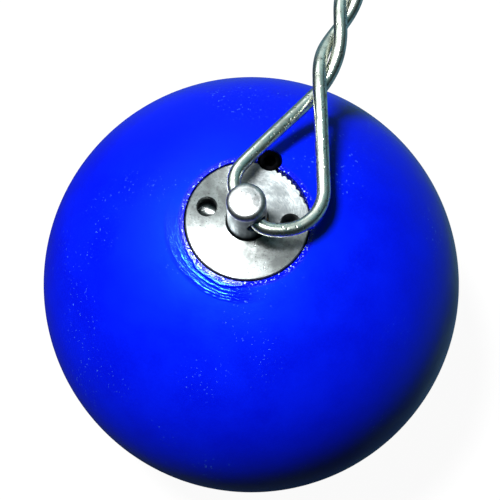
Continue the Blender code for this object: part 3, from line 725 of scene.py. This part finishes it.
def blue_paint():
    """Deep blue brushed paint: satin with a faint orange peel, wet and streaky beside the cap."""
    made, tree, shader, place = new_material("blue_paint")
    radius, angle, height = from_axis(tree, place)
    top = fit(tree, height, 0.080, 0.088)
    off_side = calc(tree, "SUBTRACT", angle, math.radians(STROKE_SIDE - 360))
    side = fit(tree, calc(tree, "COSINE", off_side), 0.45, 0.85)
    wide = calc(tree, "MULTIPLY", fit(tree, radius, 0.0194, 0.0182), side)
    near = fit(tree, radius, 0.0160, 0.0148)
    wet = calc(tree, "MULTIPLY", calc(tree, "MAXIMUM", wide, near), top)
    cloud = blotches(tree, place, 0.012, 3.0)
    grain = blotches(tree, place, 0.0005, 2.0)
    colour = mix(tree, fit(tree, cloud, 0.3, 0.7), (0.0003, 0.003, 0.72, 1.0), (0.0005, 0.005, 0.84, 1.0))
    colour = mix(tree, fit(tree, grain, 0.35, 0.7, 0.0, 0.25), colour, (0.001, 0.012, 0.95, 1.0))
    dust = calc(tree, "MULTIPLY", fit(tree, blotches(tree, place, 0.0007, 2.0), 0.66, 0.72),
                fit(tree, blotches(tree, place, 0.02, 1.0), 0.5, 0.65, 0.0, 0.5))
    colour = mix(tree, dust, colour, (0.12, 0.32, 0.95, 1.0))
    # Painted glints: pale flecks round the cap's rim stand in for glints on small paint drops, coloured like chips
    # that show pale primer.
    rim = calc(tree, "MULTIPLY", fit(tree, radius, 0.0155, 0.0147), top)
    painted_glint_flecks = calc(tree, "MULTIPLY", fit(tree, blotches(tree, place, 0.0006, 2.0), 0.60, 0.66), rim)
    colour = mix(tree, painted_glint_flecks, colour, (0.55, 0.75, 0.85, 1.0))
    turns = calc(tree, "MULTIPLY", angle, 0.010)
    around = add(tree, "CombineXYZ", {0: turns, 1: radius, 2: height}).outputs[0]
    streaks = blotches(tree, stretch(tree, around, (0.30, 1.0, 0.0)), 0.00035, 3.0, 0.65)
    drops = fit(tree, blotches(tree, place, 0.0004, 2.0, 0.6), 0.58, 0.70)
    normal = bump(tree, blotches(tree, place, 0.0016, 2.0), 0.00002)
    normal = bump(tree, blotches(tree, place, 0.00035, 2.0), 0.000006, normal)
    normal = bump(tree, calc(tree, "MULTIPLY", streaks, calc(tree, "MULTIPLY", wide, top)), 0.00008, normal)
    normal = bump(tree, calc(tree, "MULTIPLY", drops, calc(tree, "MULTIPLY", near, top)), 0.00014, normal)
    rough = fit(tree, cloud, 0.3, 0.7, 0.42, 0.50)
    grazing = fit(tree, add(tree, "LayerWeight", {"Blend": 0.5}).outputs["Facing"], 0.55, 0.95)
    rough = calc(tree, "SUBTRACT", rough, calc(tree, "MULTIPLY", grazing, 0.2))
    rough = add(tree, "MapRange", {"Value": wet, "To Min": rough, "To Max": 0.14}).outputs["Result"]
    tint = mix(tree, wet, (0.07, 0.8, 1.0, 1.0), (0.16, 0.85, 1.0, 1.0))
    tint = mix(tree, calc(tree, "MULTIPLY", near, top), tint, (0.8, 0.96, 1.0, 1.0))
    feed(tree, shader, {"Base Color": colour, "Roughness": rough, "Normal": normal,
                        "Specular IOR Level": 0.38, "Specular Tint": tint})
    return made


def turned_steel(name, colour, rough, anisotropy, patch_size, painted_shade_colour, painted_shade_top, painted_shade_bottom):
    """Steel turned about Z: fine circular marks, dull patches, and painted shade, a darker colour between two
    heights.
    Returns the material and what it takes to wear it further."""
    made, tree, shader, place = new_material(name)
    radius, angle, height = from_axis(tree, place)
    dark = tuple(channel * 0.45 for channel in colour[:3]) + (1.0,)
    turns = calc(tree, "MULTIPLY", angle, 0.0016)
    rings = add(tree, "CombineXYZ", {0: turns, 1: radius, 2: height}).outputs[0]
    marks = blotches(tree, rings, 0.00022, 3.0, 0.7)
    patches = blotches(tree, place, patch_size, 5.0, 0.6)
    specks = blotches(tree, place, 0.0005, 3.0, 0.7)
    base = mix(tree, fit(tree, patches, 0.40, 0.64), colour, dark)
    base = mix(tree, fit(tree, specks, 0.58, 0.70, 0.0, 0.85), base, (0.01, 0.015, 0.015, 1.0))
    base = mix(tree, fit(tree, marks, 0.50, 0.72, 0.0, 0.6), base, dark)
    # Painted shade: the colour is darkened between the two heights, down the sides and in the holes.
    painted_shade = calc(tree, "MULTIPLY", fit(tree, height, painted_shade_top, painted_shade_top - 0.0012),
                 fit(tree, height, painted_shade_bottom - 0.0006, painted_shade_bottom))
    base = mix(tree, painted_shade, base, painted_shade_colour)
    normal = bump(tree, marks, 0.000016)
    normal = bump(tree, specks, 0.000012, normal)
    uneven = fit(tree, patches, 0.3, 0.7, rough - 0.05, rough + 0.07)
    tangent = add(tree, "Tangent", direction_type="RADIAL", axis="Z").outputs["Tangent"]
    feed(tree, shader, {"Base Color": base, "Metallic": 1.0, "Roughness": uneven, "Normal": normal,
                        "Anisotropic": anisotropy, "Anisotropic Rotation": 0.25, "Tangent": tangent})
    return made, tree, shader, angle, marks


def spindle_steel():
    """Turned steel with painted shade: its side below the rounded end is coloured dull and bluish."""
    # The darker bluish colour and the two heights set the painted shade on the spindle's side.
    made, *_ = turned_steel(
        "spindle_steel", (0.44, 0.45, 0.45, 1.0), 0.33, 0.2, 0.0014, (0.06, 0.08, 0.10, 1.0),
        SPINDLE_TOP_Z - SPINDLE_EDGE_RADIUS, SPINDLE_BOTTOM_Z)
    return made


def cap_steel():
    """The cap's turned face, with painted shade in its holes and down its rim. Beside its nibbled rim it is
    scuffed rougher with coarser marks and painted darker, a painted shade that dims its highlight there.
    """
    # Painted shade: below the top face, in the holes and down the rim, the colour is darkened.
    made, tree, shader, angle, marks = turned_steel(
        "turned_face", (0.27, 0.29, 0.285, 1.0), 0.30, 0.85, 0.0040, (0.02, 0.025, 0.03, 1.0),
        CAP_TOP_Z - 0.0004, CAP_TOP_Z - SPANNER_HOLE_DEPTH)
    # Painted shade in one sector beside the nibbled rim: the colour is darkened in streaks so the highlight on
    # that side is dimmer, and the surface is rougher there.
    turn = calc(tree, "COSINE", calc(tree, "SUBTRACT", angle, math.radians(NIBBLE_SIDE - 10)))
    scuffed_and_shaded = fit(tree, turn, 0.35, 0.75)
    streaky = fit(tree, marks, 0.35, 0.60, 0.50, 0.85)
    bright = shader.inputs["Base Color"].links[0].from_socket
    base = mix(tree, calc(tree, "MULTIPLY", scuffed_and_shaded, streaky), bright, (0.075, 0.085, 0.09, 1.0))
    smooth = shader.inputs["Roughness"].links[0].from_socket
    rough = calc(tree, "ADD", smooth, calc(tree, "MULTIPLY", scuffed_and_shaded, 0.18))
    feed(tree, shader, {"Base Color": base, "Roughness": rough})
    return made


def worn_steel(name, colour, rough, blotch_size, pit_size, pit_depth):
    """Drawn or plated steel with pits, dark handling marks and small scratches."""
    made, tree, shader, place = new_material(name)
    dark = tuple(channel * 0.45 for channel in colour[:3]) + (1.0,)
    patches = blotches(tree, place, blotch_size, 5.0, 0.6)
    pits = add(tree, "TexVoronoi", {"Vector": place, "Scale": 1.0 / pit_size, "Randomness": 1.0})
    chance = blotches(tree, place, 3 * pit_size, 2.0)
    hollow = fit(tree, pits.outputs["Distance"], 0.32, 0.14)
    pit = calc(tree, "MULTIPLY", hollow, fit(tree, chance, 0.44, 0.54))
    scratches = blotches(tree, stretch(tree, place, (1.0, 0.12, 0.12)), 0.0004, 3.0, 0.7)
    base = mix(tree, fit(tree, patches, 0.38, 0.70), colour, dark)
    base = mix(tree, calc(tree, "MULTIPLY", pit, 0.75), base, (0.05, 0.055, 0.05, 1.0))
    normal = bump(tree, patches, 0.00003)
    normal = bump(tree, scratches, 0.00001, normal)
    normal = bump(tree, calc(tree, "SUBTRACT", 1.0, pit), pit_depth, normal)
    feed(tree, shader, {"Base Color": base, "Metallic": 1.0, "Normal": normal,
                        "Roughness": fit(tree, patches, 0.3, 0.7, rough - 0.06, rough + 0.10)})
    return made


def plain_metal(name, colour, rough, grain_size, grain_depth):
    """A cast, rolled or oxidised metal with one grain."""
    made, tree, shader, place = new_material(name)
    dark = tuple(channel * 0.6 for channel in colour[:3]) + (1.0,)
    grain = blotches(tree, place, grain_size, 5.0, 0.6)
    patches = blotches(tree, place, 12 * grain_size, 3.0)
    base = mix(tree, fit(tree, patches, 0.35, 0.65), colour, dark)
    feed(tree, shader, {"Base Color": base, "Metallic": 1.0,
                        "Roughness": fit(tree, grain, 0.3, 0.7, rough - 0.07, rough + 0.07),
                        "Normal": bump(tree, grain, grain_depth)})
    return made


# ---------------------------------------------------------------- studio


# The camera's place round the ball, then its own turn, in degrees and metres
VIEW_AZIMUTH = 20.3
VIEW_ELEVATION = 72.46
VIEW_DISTANCE = 0.70
VIEW_ROLL = -3.5317
VIEW_YAW = -0.0247
VIEW_PITCH = 0.6815
LENS_MM = 208.83
SENSOR_MM = 36.0
FLOOR_HALF_SIZE = 9


def seen_toward(picture_angle, elevation):
    """A unit vector toward an angle in the picture and up by an elevation, both in degrees.
    Angles in the picture run counter-clockwise from the right."""
    flat = polar(math.cos(math.radians(elevation)), picture_angle + VIEW_AZIMUTH)
    return flat + UP * math.sin(math.radians(elevation))


def make_camera():
    """The camera aims at the ball, then is turned a little in its own roll, yaw and pitch."""
    data = bpy.data.cameras.new("camera")
    data.lens = LENS_MM
    data.sensor_width = SENSOR_MM
    data.clip_start = 0.01
    camera = bpy.data.objects.new("camera", data)
    bpy.context.scene.collection.objects.link(camera)
    slope = math.radians(VIEW_ELEVATION)
    aim = Vector((0.0, math.cos(slope), -math.sin(slope)))
    right = Vector((1.0, 0.0, 0.0))
    top = right.cross(aim)
    roll = math.radians(VIEW_ROLL)
    level_right = right
    right = level_right * math.cos(roll) + top * math.sin(roll)
    top = top * math.cos(roll) - level_right * math.sin(roll)
    turned = aim + top * math.tan(math.radians(VIEW_PITCH)) + right * math.tan(math.radians(VIEW_YAW))
    turned.normalize()
    right = turned.cross(top).normalized()
    top = right.cross(turned)
    matrix = Matrix((right, top, -turned)).transposed().to_4x4()
    matrix.translation = Vector((0.0, 0.0, BALL_RADIUS)) - aim * VIEW_DISTANCE
    camera.matrix_world = Matrix.Rotation(math.radians(VIEW_AZIMUTH), 4, "Z") @ matrix
    bpy.context.scene.camera = camera


def make_sun(name, picture_angle, elevation, energy, spread, in_reflections_only=False):
    data = bpy.data.lights.new(name, "SUN")
    data.energy = energy
    data.angle = math.radians(spread)
    sun = bpy.data.objects.new(name, data)
    sun.visible_diffuse = not in_reflections_only
    bpy.context.scene.collection.objects.link(sun)
    sun.rotation_mode = "QUATERNION"
    sun.rotation_quaternion = seen_toward(picture_angle, elevation).to_track_quat("Z", "Y")


def light_patch(tree, direction, aim, inner_deg, outer_deg, strength):
    """A soft round patch of light in the surroundings."""
    dot = add(tree, "VectorMath", {0: direction, 1: aim}, operation="DOT_PRODUCT").outputs["Value"]
    low = math.cos(math.radians(outer_deg))
    high = math.cos(math.radians(inner_deg))
    return fit(tree, dot, low, high, 0.0, strength)


def make_surroundings():
    """White where the camera looks straight at it. In reflections it is a wide dome, a brighter patch and
    a glow low down, cool where they are weak. It lights the surfaces only faintly."""
    world = bpy.data.worlds.new("studio")
    world.use_nodes = True
    bpy.context.scene.world = world
    tree = world.node_tree
    direction = add(tree, "TexCoord").outputs["Generated"]
    path = add(tree, "LightPath").outputs
    dome = light_patch(tree, direction, seen_toward(95, 40), 10, 100, 0.38)
    box = light_patch(tree, direction, seen_toward(138, 33), 8, 48, 2.0)
    height = add(tree, "SeparateXYZ", {0: direction}).outputs[2]
    total = calc(tree, "MULTIPLY", calc(tree, "ADD", dome, box), fit(tree, height, 0.15, 0.50))
    horizon = light_patch(tree, direction, seen_toward(75, 5), 5, 45, 0.6)
    total = calc(tree, "ADD", calc(tree, "ADD", total, horizon), 0.02)
    tint = mix(tree, fit(tree, total, 0.05, 1.3), (0.42, 0.90, 1.0, 1.0), (0.92, 0.99, 1.0, 1.0))
    shade = add(tree, "MapRange", {"Value": path["Is Diffuse Ray"], "To Min": 1.0, "To Max": 0.06})
    total = calc(tree, "MULTIPLY", total, shade.outputs["Result"])
    is_camera = path["Is Camera Ray"]
    strength = add(tree, "MapRange", {"Value": is_camera, "To Min": total, "To Max": 1.0}).outputs["Result"]
    background = tree.nodes["Background"]
    feed(tree, background, {"Color": mix(tree, is_camera, tint, WHITE), "Strength": strength})


def make_floor():
    """A white floor for the camera. In reflections it is dark blue-green, and it lights nothing."""
    half = FLOOR_HALF_SIZE
    corners = [(-half, -half, 0), (half, -half, 0), (half, half, 0), (-half, half, 0)]
    floor = new_object("floor", corners, [(0, 1, 2, 3)])
    made, tree, shader, place = new_material("floor")
    path = add(tree, "LightPath").outputs
    is_camera = path["Is Camera Ray"]
    grain = blotches(tree, place, 0.004, 3.0)
    white = mix(tree, grain, (0.06, 0.06, 0.06, 1.0), (0.07, 0.07, 0.07, 1.0))
    toward_light = add(tree, "VectorMath", {0: place, 1: seen_toward(40, 0)}, operation="DOT_PRODUCT")
    side = fit(tree, toward_light.outputs["Value"], -0.03, 0.09)
    reflected = mix(tree, side, (0.012, 0.03, 0.06, 1.0), (0.09, 0.20, 0.27, 1.0))
    glow = calc(tree, "MAXIMUM", calc(tree, "MULTIPLY", is_camera, 0.95), path["Is Glossy Ray"])
    feed(tree, shader, {"Base Color": mix(tree, is_camera, (0.01, 0.01, 0.01, 1.0), white), "Roughness": 0.9,
                        "Specular IOR Level": 0.0, "Emission Strength": glow,
                        "Emission Color": mix(tree, is_camera, reflected, WHITE)})
    floor.data.materials.append(made)


# ---------------------------------------------------------------- the whole scene


def make_object():
    steel = worn_steel("plated_steel", (0.56, 0.57, 0.57, 1.0), 0.30, 0.003, 0.0012, 0.00003)
    polished = plain_metal("polished_steel", (0.62, 0.63, 0.64, 1.0), 0.15, 0.0003, 0.000002)
    make_ball(blue_paint())
    make_cap(cap_steel())
    # Lock screw: black oxide, made near-black as painted shade deep in its hole.
    make_lock_screw(plain_metal("black_oxide", (0.0012, 0.0012, 0.0015, 1.0), 0.45, 0.0002, 0.000004))
    make_spindle(spindle_steel())
    make_wire(worn_steel("spring_wire", (0.74, 0.77, 0.68, 1.0), 0.24, 0.0022, 0.0010, 0.00006))
    make_handle(steel, plain_metal("grip_aluminium", (0.80, 0.81, 0.82, 1.0), 0.38, 0.0004, 0.00001), steel)
    dress(plain_metal("cast_lead", (0.20, 0.20, 0.22, 1.0), 0.60, 0.0008, 0.00004), "trim_slug")
    dress(plain_metal("oiled_bronze", (0.50, 0.29, 0.13, 1.0), 0.38, 0.0005, 0.00001), "guide_bush")
    dress(plain_metal("pressed_brass", (0.72, 0.50, 0.18, 1.0), 0.33, 0.0006, 0.000006), "ball_cage")
    dress(polished, "upper_race", "lower_race", *[f"bearing_ball_{index:02d}" for index in range(1, 11)])
    dress(steel, "spindle_washer", "spindle_nut", "split_pin")


make_object()
make_floor()
make_surroundings()
make_sun("key_light", 155, 75.5, 5.4, 13)
make_sun("side_light", 145, 66, 0.8, 10, in_reflections_only=True)
make_sun("top_light", 120, 84, 1.3, 10, in_reflections_only=True)
make_camera()
bpy.context.scene.view_settings.view_transform = "Standard"
